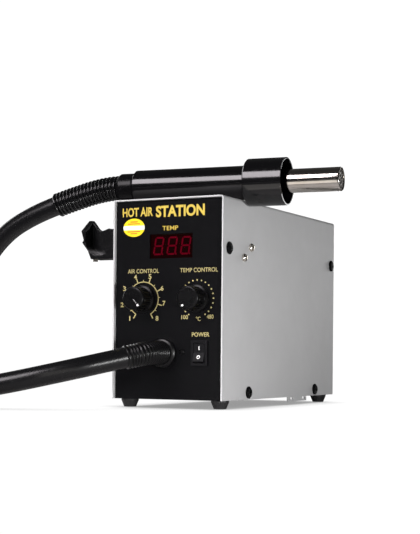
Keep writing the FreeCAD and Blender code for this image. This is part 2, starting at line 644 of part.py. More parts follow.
def make_handle():
    """The hot air handle: barrel, nose sleeve, steel tube, heater and the collar at its tail."""
    barrel = turned([
        ("10", "barrel_back"), ("barrel_r - 2.4", "barrel_back"), ("barrel_r", "barrel_back + 2.6"),
        ("barrel_r", "barrel_front"), ("bore_r", "barrel_front"), ("bore_r", "barrel_front + 5"),
        ("tube_r + tube_step", "barrel_front + 5"), ("tube_r + tube_step", "tube_back"),
        ("bore_r", "tube_back"),
        ("bore_r", "barrel_back + 8"), ("10", "barrel_back + 8"),
    ])
    keep("handle_barrel", on_handle(barrel))
    sleeve = turned([
        ("bore_r", "barrel_front"), ("sleeve_r - 0.8", "barrel_front"),
        ("sleeve_r", "barrel_front + 0.8"), ("sleeve_r", "sleeve_end"),
        ("sleeve_r - sleeve_wall", "sleeve_end"), ("sleeve_r - sleeve_wall", "barrel_front + 2.2"),
        ("bore_r", "barrel_front + 2.2"),
    ])
    keep("nose_sleeve", on_handle(sleeve))
    pipe = turned([
        ("tube_r + tube_step", "tube_back"), ("tube_r + tube_step", "tube_end - seat_long"),
        ("tube_r", "tube_end - seat_long"), ("tube_r", "tube_end"),
        ("tube_r - tube_wall", "tube_end"), ("tube_r - tube_wall", "tube_back"),
    ])
    keep("heat_tube", on_handle(pipe))

    disc = doc.addObject("PartDesign::Body", "grill")
    face = disc.newObject("PartDesign::Pad", "face")
    circle = disc.newObject("Sketcher::SketchObject", "circle")
    plane = [f for f in disc.Origin.OriginFeatures if f.Role == "XY_Plane"][0]
    circle.AttachmentSupport = (plane, [""])
    circle.MapMode = "FlatFace"
    rim = value("tube_r - tube_wall")
    circle.addGeometry(Part.Circle(Vector(), Vector(0, 0, 1), rim))
    circle.addConstraint(Sketcher.Constraint("Coincident", 0, 3, -1, 1))
    size = circle.addConstraint(Sketcher.Constraint("Radius", 0, rim))
    circle.setExpression(f"Constraints[{size}]", rule("tube_r - tube_wall"))
    hole = 1.35
    circle.addGeometry(Part.Circle(Vector(), Vector(0, 0, 1), hole))
    for ring, count in ((3.6, 6), (6.9, 12)):
        for step in range(count):
            angle = 2*math.pi*step/count
            spot = Vector(ring*math.cos(angle), ring*math.sin(angle), 0)
            circle.addGeometry(Part.Circle(spot, Vector(0, 0, 1), hole))
    face.Profile = circle
    face.Length = 1
    disc.Tip = face
    grill = doc.addObject("Part::Compound", "grill_seat")
    grill.Links = [disc]
    disc.Placement.Base.z = value("tube_end") - 1.8
    keep("nozzle_grill", on_handle(grill))

    former = turned([("1.5", "tube_back + 4"), ("5", "tube_back + 4"), ("5", "tube_end - 8"),
                     ("1.5", "tube_end - 8")])
    keep("heater_former", on_handle(former))
    winding = turned([("5", "tube_back + 12"), ("6.6", "tube_back + 12"), ("6.6", "tube_end - 12"),
                      ("5", "tube_end - 12")])
    keep("heater_winding", on_handle(winding))
    liner = turned([("8.7", "tube_back + 2"), ("tube_r - tube_wall", "tube_back + 2"),
                    ("tube_r - tube_wall", "tube_end - 4"), ("8.7", "tube_end - 4")])
    keep("mica_liner", on_handle(liner))
    carrier = turned([("2", "tube_back - 6"), ("bore_r", "tube_back - 6"), ("bore_r", "tube_back"),
                      ("8.6", "tube_back"), ("8.6", "tube_back + 2"), ("5", "tube_back + 2"),
                      ("5", "tube_back + 4"), ("2", "tube_back + 4")])
    keep("heater_carrier", on_handle(carrier))
    collar = turned([
        ("5", "collar_back"), ("collar_r - 1.6", "collar_back"), ("collar_r", "collar_back + 3"),
        ("collar_r", "barrel_back"), ("10", "barrel_back"), ("10", "barrel_back + 9"),
        ("5", "barrel_back + 9"),
    ])
    keep("tail_collar", on_handle(collar))


# ---- the hose ------------------------------------------------------------------------------

def in_model(x, y, z):
    """A place given from the case's reference corner, in the model's frame."""
    return Vector(value("case_x") + x, value("case_y") + y, z)


def pipe_along(path, radius):
    """A round bar that follows a wire."""
    first = path.Edges[0]
    start = first.valueAt(first.FirstParameter)
    way = first.tangentAt(first.FirstParameter)
    ring = Part.Wire(Part.makeCircle(radius, start, way))
    return path.makePipeShell([ring], True, False)


def rounded_route(points, label):
    """Straight runs joined by tangent arcs, each as large as its two runs allow."""
    edges = []
    last = points[0]
    radii = []
    for before, corner, after in zip(points, points[1:], points[2:]):
        come = corner - before
        leave = after - corner
        reach = 0.45*min(come.Length, leave.Length)
        half_turn = come.getAngle(leave)/2
        radius = reach/math.tan(half_turn)
        radii.append(round(radius, 1))
        come.normalize()
        leave.normalize()
        start = corner - come*reach
        end = corner + leave*reach
        inward = (leave - come).normalize()
        middle = corner + inward*(radius/math.cos(half_turn) - radius)
        edges.append(Part.LineSegment(last, start).toShape())
        edges.append(Part.Arc(start, middle, end).toShape())
        last = end
    edges.append(Part.LineSegment(last, points[-1]).toShape())
    print(label, "radii", radii, "least", min(radii))
    return Part.Wire(edges)


def feature(label, shape):
    piece = doc.addObject("Part::Feature", label)
    piece.Shape = shape
    return keep(label, piece)


def tube_piece(label, points, radius, bore=0):
    """A tube along a rounded route; its volume is checked against section times length."""
    route = rounded_route(points, label)
    solid = pipe_along(route, radius)
    section = math.pi*radius**2
    if bore:
        solid = solid.cut(pipe_along(route, bore))
        section -= math.pi*bore**2
    ratio = solid.Volume/(section*route.Length)
    print(label, "length", round(route.Length, 1), "volume over section times length", round(ratio, 4))
    return feature(label, solid)


def bent_relief(label, start, way, side, bend_r, turn):
    """A short tube that leaves start along way and bends towards side."""
    swing = math.radians(turn)
    centre = start + side*bend_r

    def at(angle):
        return centre - side*(bend_r*math.cos(angle)) + way*(bend_r*math.sin(angle))

    arc = Part.Arc(start, at(swing/2), at(swing)).toShape()
    heading = way*math.cos(swing) + side*math.sin(swing)
    feature(label, pipe_along(Part.Wire([arc]), value("relief_r")))
    return at(swing), heading


def make_hose():
    """The hose in three pieces, out of the front, round a storage coil and up to the handle."""
    outlet = in_model(value("outlet_x"), value("inset") - 4, value("outlet_z"))
    leftward = Vector(-0.95, 0, -0.312).normalize()
    end, heading = bent_relief("outlet_relief", outlet, Vector(0, -1, 0), leftward, 52, 43)
    coil_r = value("coil_r")
    centre = in_model(value("coil_x"), value("coil_y"), 0)

    def on_coil(angle, height):
        turn = math.radians(angle)
        return centre + Vector(coil_r*math.cos(turn), coil_r*math.sin(turn), height)

    def coil_way(angle):
        turn = math.radians(angle)
        return Vector(math.sin(turn), -math.cos(turn), 0)

    join_in = on_coil(COIL_IN, value("hose_r"))
    first = [end, end + heading*50]
    first += [in_model(*point) for point in OUTLET_ROUTE]
    first += [join_in - coil_way(COIL_IN)*45, join_in]
    tube_piece("hose_outlet_run", first, value("hose_r"))

    ring_low = Part.makeCylinder(coil_r + value("hose_r"), 4*value("hose_r"), centre)
    ring = ring_low.cut(Part.makeCylinder(coil_r - value("hose_r"), 4*value("hose_r"), centre))
    feature("hose_coil", ring)

    middle, nose = handle_axis()
    tail = middle + nose*value("collar_back")
    down = Vector(0, 0, -1)
    tail_end, tail_way = bent_relief("tail_relief", tail, nose*-1, down, 165, 26)
    join_out = on_coil(COIL_OUT, 3*value("hose_r"))
    gap = value("handle_gap")
    second = [join_out, join_out + coil_way(COIL_OUT)*36]
    second += [in_model(*point) for point in HANDLE_ROUTE]
    second += [tail_end + tail_way*37, tail_end + tail_way*gap]
    tube_piece("hose_handle_run", second, value("hose_r"))
    for name, points in (("outlet", first), ("handle", second)):
        print(name, "route", [tuple(round(c, 2) for c in point) for point in points])

    # a strap over the coil, on its far side
    wide = 2*value("hose_r")
    strap = 1.4
    band = Part.makeBox(wide + 2*strap, 12, 2*wide + strap)
    hollow = Part.makeBox(wide, 14, 2*wide)
    hollow.translate(Vector(strap, -1, 0))
    band = band.cut(hollow)
    band.translate(Vector(coil_r - wide/2 - strap, -6, 0))
    band.rotate(Vector(), Vector(0, 0, 1), TIE_AT)
    band.translate(centre)
    feature("coil_tie", band)


COIL_IN = -97
COIL_OUT = 84
TIE_AT = 200
OUTLET_ROUTE = [(-106, -95, 18), (-166, -109, 9), (-228, -117, 8.5)]
HANDLE_ROUTE = [(-250, 45, 38), (-225, 30, 62), (-212, 17, 94), (-199, 16, 129)]


def make_air_line():
    """The air tube inside the case, from the pump's spout to the hose gland."""
    start = in_model(-38, value("arm_y + 24"), value("arm_z + 28"))
    points = [
        start, in_model(-43, value("arm_y + 4"), value("arm_z + 28")), in_model(-42, 105, 50),
        in_model(-34, 60, 46), in_model(-6, 40, 46), in_model(value("outlet_x"), 15, 46),
    ]
    tube_piece("air_line", points, 5, 3.4)


def build():
    make_cover()
    make_chassis()
    make_feet()
    make_case_screws()
    make_display()
    nuts = [make_control(name, f"{name}_x") for name in ("air", "temp")]
    keep("pot_nuts", group(*nuts))
    make_switch()
    make_outlet()
    make_cradle()
    make_pump()
    make_electronics()
    make_mains_side()
    make_handle()
    make_hose()
    make_air_line()


def check_and_write():
    """Stop if anything failed to compute, then write one file for each sub-part."""
    doc.recompute()
    bad = [thing.Name for thing in doc.Objects if {"Invalid", "Error"} & set(thing.State)]
    if bad:
        raise SystemExit(f"these did not compute: {bad}")
    os.makedirs("parts", exist_ok=True)
    for label, thing in parts.items():
        shape = thing.Shape
        if shape.isNull() or not shape.isValid() or not shape.Solids:
            raise SystemExit(f"{label} has no valid solid")
        shape.exportStep(f"parts/{label}.step")
        bounds = shape.BoundBox
        corners = [round(c, 1) for c in (bounds.XMin, bounds.XMax, bounds.YMin, bounds.YMax,
                                         bounds.ZMin, bounds.ZMax)]
        print(f"{label:22s} solids {len(shape.Solids)} volume {shape.Volume:10.0f} box {corners}")


build()
check_and_write()
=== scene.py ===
import bisect
import json
import math

import bmesh
import bpy
from mathutils import Matrix, Vector


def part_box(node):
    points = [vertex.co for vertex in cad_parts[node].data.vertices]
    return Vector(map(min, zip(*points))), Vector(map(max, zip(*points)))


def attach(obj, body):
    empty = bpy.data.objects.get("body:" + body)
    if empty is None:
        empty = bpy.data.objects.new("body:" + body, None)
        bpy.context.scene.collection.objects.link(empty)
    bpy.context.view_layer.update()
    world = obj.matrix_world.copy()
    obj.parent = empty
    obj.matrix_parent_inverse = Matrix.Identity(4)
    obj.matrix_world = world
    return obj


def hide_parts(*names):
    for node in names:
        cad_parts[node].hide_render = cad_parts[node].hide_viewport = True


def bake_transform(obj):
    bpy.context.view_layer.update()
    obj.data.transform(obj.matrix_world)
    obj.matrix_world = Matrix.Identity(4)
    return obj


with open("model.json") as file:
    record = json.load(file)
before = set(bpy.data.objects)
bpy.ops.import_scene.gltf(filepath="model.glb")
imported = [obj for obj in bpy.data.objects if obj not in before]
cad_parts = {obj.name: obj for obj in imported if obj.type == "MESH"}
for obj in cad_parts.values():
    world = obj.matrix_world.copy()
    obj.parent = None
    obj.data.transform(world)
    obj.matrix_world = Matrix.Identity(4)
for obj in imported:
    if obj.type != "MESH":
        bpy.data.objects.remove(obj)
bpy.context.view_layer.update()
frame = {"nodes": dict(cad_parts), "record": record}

MM = 0.001
scene = bpy.context.scene
NODES = frame["nodes"]

# Places on the case are in millimetres: x from its middle, y from the cover's front edge, z from
# the floor. spot() turns that into the frame's metres. The hose's points are in the frame's own
# millimetres instead, because most of it lies away from the case.
cover_low, cover_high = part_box("cover")
CASE_X = (cover_low.x + cover_high.x)/2
CASE_Y = cover_low.y
PANEL_Y = 3.0


def spot(x, y, z):
    """A place on the case, in the frame's metres."""
    return Vector((CASE_X + x*MM, CASE_Y + y*MM, z*MM))


# ---- the camera --------------------------------------------------------------------------

CAMERA_AT = (513.5, -929.4, 44.1)
CAMERA_YAW = math.radians(26.91)
CAMERA_ROLL = math.radians(0.51)
LENS = 86.1
SENSOR = 36
SHIFT = (-0.0017, 0.1657)


def make_camera():
    """The camera stands level, a little rolled, and is shifted up instead of tilted."""
    data = bpy.data.cameras.new("camera")
    data.sensor_width = SENSOR
    data.lens = LENS
    data.shift_x, data.shift_y = SHIFT
    data.clip_end = 20
    camera = bpy.data.objects.new("camera", data)
    scene.collection.objects.link(camera)
    ahead = Vector((-math.sin(CAMERA_YAW), math.cos(CAMERA_YAW), 0))
    level = Vector((math.cos(CAMERA_YAW), math.sin(CAMERA_YAW), 0))
    up = Vector((0, 0, 1))
    right = level*math.cos(CAMERA_ROLL) + up*math.sin(CAMERA_ROLL)
    top = up*math.cos(CAMERA_ROLL) - level*math.sin(CAMERA_ROLL)
    turn = Matrix((right, top, -ahead)).transposed().to_4x4()
    camera.matrix_world = Matrix.Translation(spot(*CAMERA_AT)) @ turn
    scene.camera = camera


# ---- materials ---------------------------------------------------------------------------

class Nodes:
    """A short way to build a node tree round one Principled shader."""

    def __init__(self, name):
        self.material = bpy.data.materials.new(name)
        self.material.use_nodes = True
        self.tree = self.material.node_tree
        self.shader = self.tree.nodes["Principled BSDF"]
        self.place = self.add("ShaderNodeTexCoord").outputs["Object"]

    def add(self, kind, **settings):
        node = self.tree.nodes.new(kind)
        for key, setting in settings.items():
            setattr(node, key, setting)
        return node

    def link(self, out, socket):
        self.tree.links.new(out, socket)

    def set(self, **sockets):
        for key, setting in sockets.items():
            self.shader.inputs[key.replace("_", " ")].default_value = setting

    def noise(self, size_mm, detail=3.0, rough=0.55, stretch=None):
        """A noise whose features are about size_mm across. stretch scales x, y, z."""
        node = self.add("ShaderNodeTexNoise")
        place = self.place
        if stretch:
            mapping = self.add("ShaderNodeMapping")
            self.link(place, mapping.inputs["Vector"])
            mapping.inputs["Scale"].default_value = stretch
            place = mapping.outputs["Vector"]
        self.link(place, node.inputs["Vector"])
        node.inputs["Scale"].default_value = 1000/size_mm
        node.inputs["Detail"].default_value = detail
        node.inputs["Roughness"].default_value = rough
        return node.outputs["Fac"]

    def ramp(self, value, low, high, out_low=0.0, out_high=1.0):
        """Map low..high to out_low..out_high, and hold it there beyond them."""
        node = self.add("ShaderNodeMapRange")
        node.inputs["From Min"].default_value = low
        node.inputs["From Max"].default_value = high
        node.inputs["To Min"].default_value = out_low
        node.inputs["To Max"].default_value = out_high
        self.link(value, node.inputs["Value"])
        return node.outputs["Result"]

    def blend(self, factor, one, two):
        """Mix two colours, each a plain one or a socket."""
        node = self.add("ShaderNodeMix", data_type="RGBA")
        self.link(factor, node.inputs["Factor"])
        for socket, colour in ((node.inputs["A"], one), (node.inputs["B"], two)):
            if isinstance(colour, tuple):
                socket.default_value = (*colour, 1)
            else:
                self.link(colour, socket)
        return node.outputs["Result"]

    def bump(self, height, strength, depth_mm, under=None):
        """A normal from a height, over the normal in under when there is one."""
        node = self.add("ShaderNodeBump")
        node.inputs["Strength"].default_value = strength
        node.inputs["Distance"].default_value = depth_mm*MM
        self.link(height, node.inputs["Height"])
        if under is not None:
            self.link(under, node.inputs["Normal"])
        return node.outputs["Normal"]


def tone(colour, share):
    """A colour made lighter or darker."""
    return tuple(min(1.0, c*share) for c in colour)


MATERIALS = {}


def finish(name, colour, rough, grain_mm=0.6, grain=0.25, deep_mm=0.05, mottle=0.12,
           rough_spread=0.08, stretch=None, dust=0.0, edge_mm=0.0, **sockets):
    """A moulded, painted or cast surface: slow colour drift, uneven gloss and a fine grain.

    Each keyword in sockets is an input of the shader, with _ for a space. dust adds pale specks,
    and edge_mm rounds the edges in the shading.
    """
    n = Nodes(name)
    drift = n.noise(38, 4)
    patch = n.ramp(drift, 0.3, 0.7)
    colours = n.blend(patch, tone(colour, 1 - mottle), tone(colour, 1 + mottle))
    if dust:
        speck = n.ramp(n.noise(1.6, 2), 0.62, 0.75, 0, dust)
        colours = n.blend(speck, colours, (0.45, 0.44, 0.42))
    n.link(colours, n.shader.inputs["Base Color"])
    gloss = n.ramp(n.noise(9, 4), 0.3, 0.7, rough - rough_spread, rough + rough_spread)
    n.link(gloss, n.shader.inputs["Roughness"])
    fine = n.noise(grain_mm, 2, 0.5, stretch)
    under = None
    if edge_mm:
        soft = n.add("ShaderNodeBevel", samples=6)
        soft.inputs["Radius"].default_value = edge_mm*MM
        under = soft.outputs["Normal"]
    n.link(n.bump(fine, grain, deep_mm, under), n.shader.inputs["Normal"])
    n.set(**sockets)
    MATERIALS[name] = n.material
    return n


def make_materials():
    """Every material: one for each slot of the record, and more for the parts that differ."""
    finish("grey_paint", (0.47, 0.47, 0.475), rough=0.42, grain_mm=0.55, grain=0.30, deep_mm=0.05,
           mottle=0.03, rough_spread=0.05, edge_mm=0.5)
    finish("black_paint", (0.0043, 0.0043, 0.0048), rough=0.22, grain_mm=0.45, grain=0.12,
           deep_mm=0.03, mottle=0.05, rough_spread=0.008, Specular_IOR_Level=0.07)
    finish("foot_rubber", (0.0085, 0.0085, 0.009), rough=0.60, grain_mm=0.8, grain=0.3,
           deep_mm=0.08, mottle=0.15, rough_spread=0.06, dust=0.10)
    finish("black_screw", (0.0030, 0.0030, 0.0034), rough=0.22, grain_mm=0.7, grain=0.08,
           deep_mm=0.03, mottle=0.12, rough_spread=0.04, Specular_IOR_Level=0.14)
    finish("bright_steel", (0.66, 0.62, 0.55), rough=0.26, grain_mm=0.9, grain=0.15, deep_mm=0.02,
           mottle=0.05, rough_spread=0.06, Metallic=1.0)
    finish("display_black", (0.0060, 0.0020, 0.0020), rough=0.5, grain_mm=0.8, grain=0.12,
           deep_mm=0.03, mottle=0.12, rough_spread=0.05, Specular_IOR_Level=0.0)
    finish("board_green", (0.015, 0.10, 0.035), rough=0.34, grain_mm=1.2, grain=0.2, deep_mm=0.05,
           mottle=0.12, rough_spread=0.05)
    finish("zinc", (0.55, 0.56, 0.57), rough=0.36, grain_mm=1.4, grain=0.2, deep_mm=0.03,
           mottle=0.10, rough_spread=0.08, Metallic=1.0)
    finish("knob_plastic", (0.0030, 0.0030, 0.0033), rough=0.28, grain_mm=0.5, grain=0.08,
           deep_mm=0.03, mottle=0.08, rough_spread=0.03, Specular_IOR_Level=0.16)
    finish("switch_plastic", (0.0060, 0.0060, 0.0068), rough=0.42, grain_mm=0.6, grain=0.08,
           deep_mm=0.02, mottle=0.08, rough_spread=0.04, edge_mm=0.25, Specular_IOR_Level=0.08)
    finish("brass_part", (0.62, 0.44, 0.17), rough=0.30, grain_mm=1.0, grain=0.12, deep_mm=0.02,
           mottle=0.08, rough_spread=0.06, Metallic=1.0)
    finish("black_plastic", (0.0048, 0.0048, 0.0052), rough=0.30, grain_mm=0.7, grain=0.10,
           deep_mm=0.04, mottle=0.08, rough_spread=0.04, edge_mm=0.4, Specular_IOR_Level=0.34)
    finish("copper_wire", (0.42, 0.14, 0.05), rough=0.36, grain_mm=0.5, grain=0.8, deep_mm=0.12,
           mottle=0.12, rough_spread=0.05, stretch=(0.2, 2, 0.2), Metallic=0.7)
    finish("bare_aluminium", (0.62, 0.63, 0.65), rough=0.34, grain_mm=0.5, grain=0.3, deep_mm=0.03,
           mottle=0.06, rough_spread=0.07, stretch=(1, 1, 0.06), Metallic=1.0)
    finish("handle_plastic", (0.0030, 0.0029, 0.0033), rough=0.13, grain_mm=1.1, grain=0.03,
           deep_mm=0.02, mottle=0.08, rough_spread=0.025, edge_mm=0.4)
    finish("collar_plastic", (0.0030, 0.0029, 0.0033), rough=0.26, grain_mm=1.1, grain=0.05,
           deep_mm=0.02, mottle=0.08, rough_spread=0.03, edge_mm=0.4, Specular_IOR_Level=0.14)
    finish("cradle_plastic", (0.0034, 0.0034, 0.0038), rough=0.22, grain_mm=0.7, grain=0.08,
           deep_mm=0.03, mottle=0.08, rough_spread=0.03, edge_mm=0.9, Specular_IOR_Level=0.55)
    finish("ceramic", (0.60, 0.55, 0.45), rough=0.75, grain_mm=0.9, grain=0.5, deep_mm=0.1,
           mottle=0.06, rough_spread=0.05)
    finish("heater_wire", (0.30, 0.27, 0.24), rough=0.5, grain_mm=0.7, grain=0.9, deep_mm=0.3,
           mottle=0.10, rough_spread=0.08, stretch=(2, 0.2, 0.2), Metallic=0.9)
    finish("relief_rubber", (0.0030, 0.0030, 0.0034), rough=0.20, grain_mm=0.8, grain=0.03,
           deep_mm=0.02, mottle=0.06, rough_spread=0.03, Specular_IOR_Level=0.55)
    finish("dull_rubber", (0.0030, 0.0030, 0.0034), rough=0.30, grain_mm=0.8, grain=0.03,
           deep_mm=0.02, mottle=0.06, rough_spread=0.03, Specular_IOR_Level=0.26)
    finish("grill_steel", (0.16, 0.145, 0.13), rough=0.42, grain_mm=0.9, grain=0.2, deep_mm=0.03,
           mottle=0.10, rough_spread=0.06, Metallic=1.0)
    finish("hose_rubber", (0.0040, 0.0040, 0.0045), rough=0.28, grain_mm=0.6, grain=0.05,
           deep_mm=0.02, mottle=0.05, rough_spread=0.03, Specular_IOR_Level=0.34)
    finish("clear_tube", (0.66, 0.63, 0.56), rough=0.32, grain_mm=2.0, grain=0.1, deep_mm=0.03,
           mottle=0.04, rough_spread=0.05, Subsurface_Weight=0.3)
    finish("pale_print", (0.42, 0.36, 0.15), rough=0.42, grain_mm=0.5, grain=0.2, deep_mm=0.02,
           mottle=0.06, rough_spread=0.05)
    finish("gold_print", (0.52, 0.38, 0.05), rough=0.42, grain_mm=0.5, grain=0.2, deep_mm=0.02,
           mottle=0.06, rough_spread=0.05)
    finish("white_print", (0.78, 0.78, 0.77), rough=0.45, grain_mm=0.5, grain=0.2, deep_mm=0.02,
           mottle=0.04, rough_spread=0.05)
    finish("label_yellow", (0.86, 0.62, 0.01), rough=0.32, grain_mm=0.8, grain=0.15, deep_mm=0.02,
           mottle=0.03, rough_spread=0.04)
    finish("label_white", (0.74, 0.78, 0.78), rough=0.32, grain_mm=0.8, grain=0.15, deep_mm=0.02,
           mottle=0.02, rough_spread=0.04)
    finish("label_ink", (0.42, 0.045, 0.015), rough=0.40, grain_mm=0.8, grain=0.15, deep_mm=0.02,
           mottle=0.06, rough_spread=0.04)
    make_core_steel()
    make_tube_steel()
    make_strap()
    make_filter()
    make_segments()


def make_core_steel():
    """Stacked sheet laminations: fine lines across the stack."""
    n = finish("core_steel", (0.26, 0.26, 0.28), rough=0.45, grain_mm=1.0, grain=0.2, deep_mm=0.05,
               mottle=0.10, rough_spread=0.08, Metallic=0.8)
    wave = n.add("ShaderNodeTexWave", wave_type="BANDS", bands_direction="X")
    n.link(n.place, wave.inputs["Vector"])
    wave.inputs["Scale"].default_value = 320
    n.link(n.bump(wave.outputs["Fac"], 0.6, 0.12), n.shader.inputs["Normal"])


def make_tube_steel():
    """Polished stainless tube: lines round it from polishing, and a little heat tint."""
    n = Nodes("tube_steel")
    drift = n.ramp(n.noise(14, 3), 0.3, 0.7)
    colours = n.blend(drift, (0.56, 0.52, 0.47), (0.64, 0.61, 0.57))
    n.link(colours, n.shader.inputs["Base Color"])
    lines = n.noise(0.35, 3, 0.6, (1, 0.03, 0.03))
    gloss = n.ramp(lines, 0.3, 0.7, 0.08, 0.16)
    n.link(gloss, n.shader.inputs["Roughness"])
    n.link(n.bump(lines, 0.08, 0.02), n.shader.inputs["Normal"])
    n.set(Metallic=1.0)
    MATERIALS["tube_steel"] = n.material


def make_strap():
    """Woven hook and loop strap."""
    n = Nodes("tie_strap")
    weave = []
    for direction in ("Y", "Z"):
        wave = n.add("ShaderNodeTexWave", wave_type="BANDS", bands_direction=direction)
        n.link(n.place, wave.inputs["Vector"])
        wave.inputs["Scale"].default_value = 240
        wave.inputs["Distortion"].default_value = 1.5
        weave.append(wave.outputs["Fac"])
    both = n.add("ShaderNodeMath", operation="MAXIMUM")
    n.link(weave[0], both.inputs[0])
    n.link(weave[1], both.inputs[1])
    shade = n.blend(both.outputs["Value"], (0.008, 0.008, 0.009), (0.030, 0.030, 0.033))
    n.link(shade, n.shader.inputs["Base Color"])
    fuzz = n.bump(n.noise(0.4, 3), 0.5, 0.15)
    n.link(n.bump(both.outputs["Value"], 0.8, 0.25, fuzz), n.shader.inputs["Normal"])
    n.link(n.ramp(both.outputs["Value"], 0, 1, 0.9, 0.7), n.shader.inputs["Roughness"])
    n.set(Sheen_Weight=0.3)
    MATERIALS["tie_strap"] = n.material


def make_filter():
    """Dark red acrylic over the digits."""
    n = finish("red_filter", (0.010, 0.0008, 0.001), rough=0.12, grain_mm=2.0, grain=0.03,
               deep_mm=0.02, mottle=0.15, rough_spread=0.02, Specular_IOR_Level=0.12)
    n.set(Alpha=0.42)
    n.material.blend_method = "BLEND"


def make_segments():
    """Display segments, seen through the filter: dark red, with a faint painted red glow, though
    the display is off.
    """
    n = finish("segment_red", (0.10, 0.0008, 0.006), rough=0.6, grain_mm=0.6, grain=0.1,
               deep_mm=0.02, mottle=0.10, rough_spread=0.05, Specular_IOR_Level=0.0)
    # painted glow: the segments of the unlit display are made to shine faintly red
    glow = n.blend(n.ramp(n.noise(1.2, 2), 0.3, 0.7), (0.16, 0.0, 0.012), (0.20, 0.0, 0.018))
    n.link(glow, n.shader.inputs["Emission Color"])
    n.set(Emission_Strength=0.45)


# ---- making pieces -----------------------------------------------------------------------

def smooth(mesh, angle=40):
    """Shade a mesh smooth, with edges sharp where they turn by more than an angle."""
    mesh.polygons.foreach_set("use_smooth", [True]*len(mesh.polygons))
    mesh.set_sharp_from_angle(angle=math.radians(angle))


def piece(name, mesh, material, body="station", stands_for=(), angle=40):
    """Put a mesh in the scene as a piece of the object that rides on a body."""
    mesh.name = name
    smooth(mesh, angle)
    mesh.materials.clear()
    mesh.materials.append(MATERIALS[material])
    thing = bpy.data.objects.new(name, mesh)
    scene.collection.objects.link(thing)
    if body:
        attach(thing, body)
    if stands_for:
        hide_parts(*stands_for)
    return thing


def mesh_of(build):
    """A mesh from a function that fills a bmesh."""
    shape = bmesh.new()
    build(shape)
    bmesh.ops.recalc_face_normals(shape, faces=shape.faces)
    mesh = bpy.data.meshes.new("mesh")
    shape.to_mesh(mesh)
    shape.free()
    return mesh


def lathe(rows, sides=96, wobble=None, hollow=False):
    """A body turned about Z from (radius, height) rows. wobble(row, angle) adds to a radius.

    A hollow one joins its last row to its first, as a ring or a tube does.
    """
    def build(shape):
        rings = []
        for k, (radius, height) in enumerate(rows):
            if radius < 1e-6:
                rings.append([shape.verts.new((0, 0, height*MM))])
                continue
            ring = []
            for side in range(sides):
                angle = math.tau*side/sides
                wide = radius + (wobble(k, angle) if wobble else 0)
                at = (wide*MM*math.cos(angle), wide*MM*math.sin(angle), height*MM)
                ring.append(shape.verts.new(at))
            rings.append(ring)
        if hollow:
            rings.append(rings[0])
        for low, high in zip(rings, rings[1:]):
            for side in range(sides):
                after = (side + 1) % sides
                if len(low) == 1:
                    shape.faces.new((low[0], high[side], high[after]))
                elif len(high) == 1:
                    shape.faces.new((low[side], low[after], high[0]))
                else:
                    shape.faces.new((low[side], low[after], high[after], high[side]))
        for end in (rings[0], rings[-1]):
            if len(end) > 1 and not hollow:
                shape.faces.new(end)
    return mesh_of(build)


def prism(outline, depth):
    """A flat outline in X and Z, given depth along Y from y = 0 to y = -depth."""
    def build(shape):
        back = [shape.verts.new((x*MM, 0, z*MM)) for x, z in outline]
        front = [shape.verts.new((x*MM, -depth*MM, z*MM)) for x, z in outline]
        shape.faces.new(back)
        shape.faces.new(front)
        for k in range(len(outline)):
            after = (k + 1) % len(outline)
            shape.faces.new((back[k], back[after], front[after], front[k]))
    return mesh_of(build)


def joined(meshes):
    """One mesh from several."""
    shape = bmesh.new()
    for mesh in meshes:
        shape.from_mesh(mesh)
        bpy.data.meshes.remove(mesh)
    result = bpy.data.meshes.new("mesh")
    shape.to_mesh(result)
    shape.free()
    return result


def moved(mesh, place, turn=None):
    """Turn a mesh about the origin, then move it to a place."""
    mesh.transform(Matrix.Translation(place) @ (turn.to_4x4() if turn else Matrix()))
    return mesh


# turns a lathed body so that it points out of the panel
TO_FRONT = Matrix.Rotation(math.pi/2, 4, "X")


# ---- the hose ----------------------------------------------------------------------------

HOSE_R = 8.5
HOSE_SIDES = 48
HOSE_STEP = 0.004
LINE_STEPS = 120
PATH_STEPS = 300

GLAND_FACE = (-20.0, -118.5, 46.0)
RELIEF_BEND = (-20.0, -138.98, 46.0)
TO_COIL = [(-33.27, -153.96, 41.64), (-65.67, -190.53, 31.0), (-121.5, -212.5, 18.0),
           (-181.5, -226.5, 9.0), (-243.5, -234.5, 8.5), (-311.19, -232.35, 8.5)]
TO_HANDLE = [(-300.81, -61.73, 25.5), (-265.5, -72.5, 38.0), (-240.5, -87.5, 62.0),
             (-227.5, -100.5, 94.0), (-215.0, -101.5, 128.0), (-193.0, -98.6, 153.5),
             (-166.0, -95.4, 168.3), (-132.6, -91.8, 179.6)]
TAIL_BEND = (-94.1, -87.75, 189.8)
TAIL_FACE = (-79.95, -86.25, 189.8)

# The put-away coil, in degrees: where it begins, counted from +X, how far it turns, clockwise
# from above, and how far round it begins to climb and for how long.
COIL_MIDDLE = (-345.5, -142.5)
COIL_R = 85.0
COIL_IN = -97
COIL_TURN = 539
COIL_STEPS = 36
CLIMB_FROM = 268
CLIMB_OVER = 92


def coil_points():
    """One and a half turns: the first on the floor, the second climbing onto it."""
    points = []
    for step in range(COIL_STEPS + 1):
        turned = COIL_TURN*step/COIL_STEPS
        angle = math.radians(COIL_IN - turned)
        climb = min(1.0, max(0.0, (turned - CLIMB_FROM)/CLIMB_OVER))
        points.append((COIL_MIDDLE[0] + COIL_R*math.cos(angle),
                       COIL_MIDDLE[1] + COIL_R*math.sin(angle), HOSE_R + 2*HOSE_R*climb))
    return points


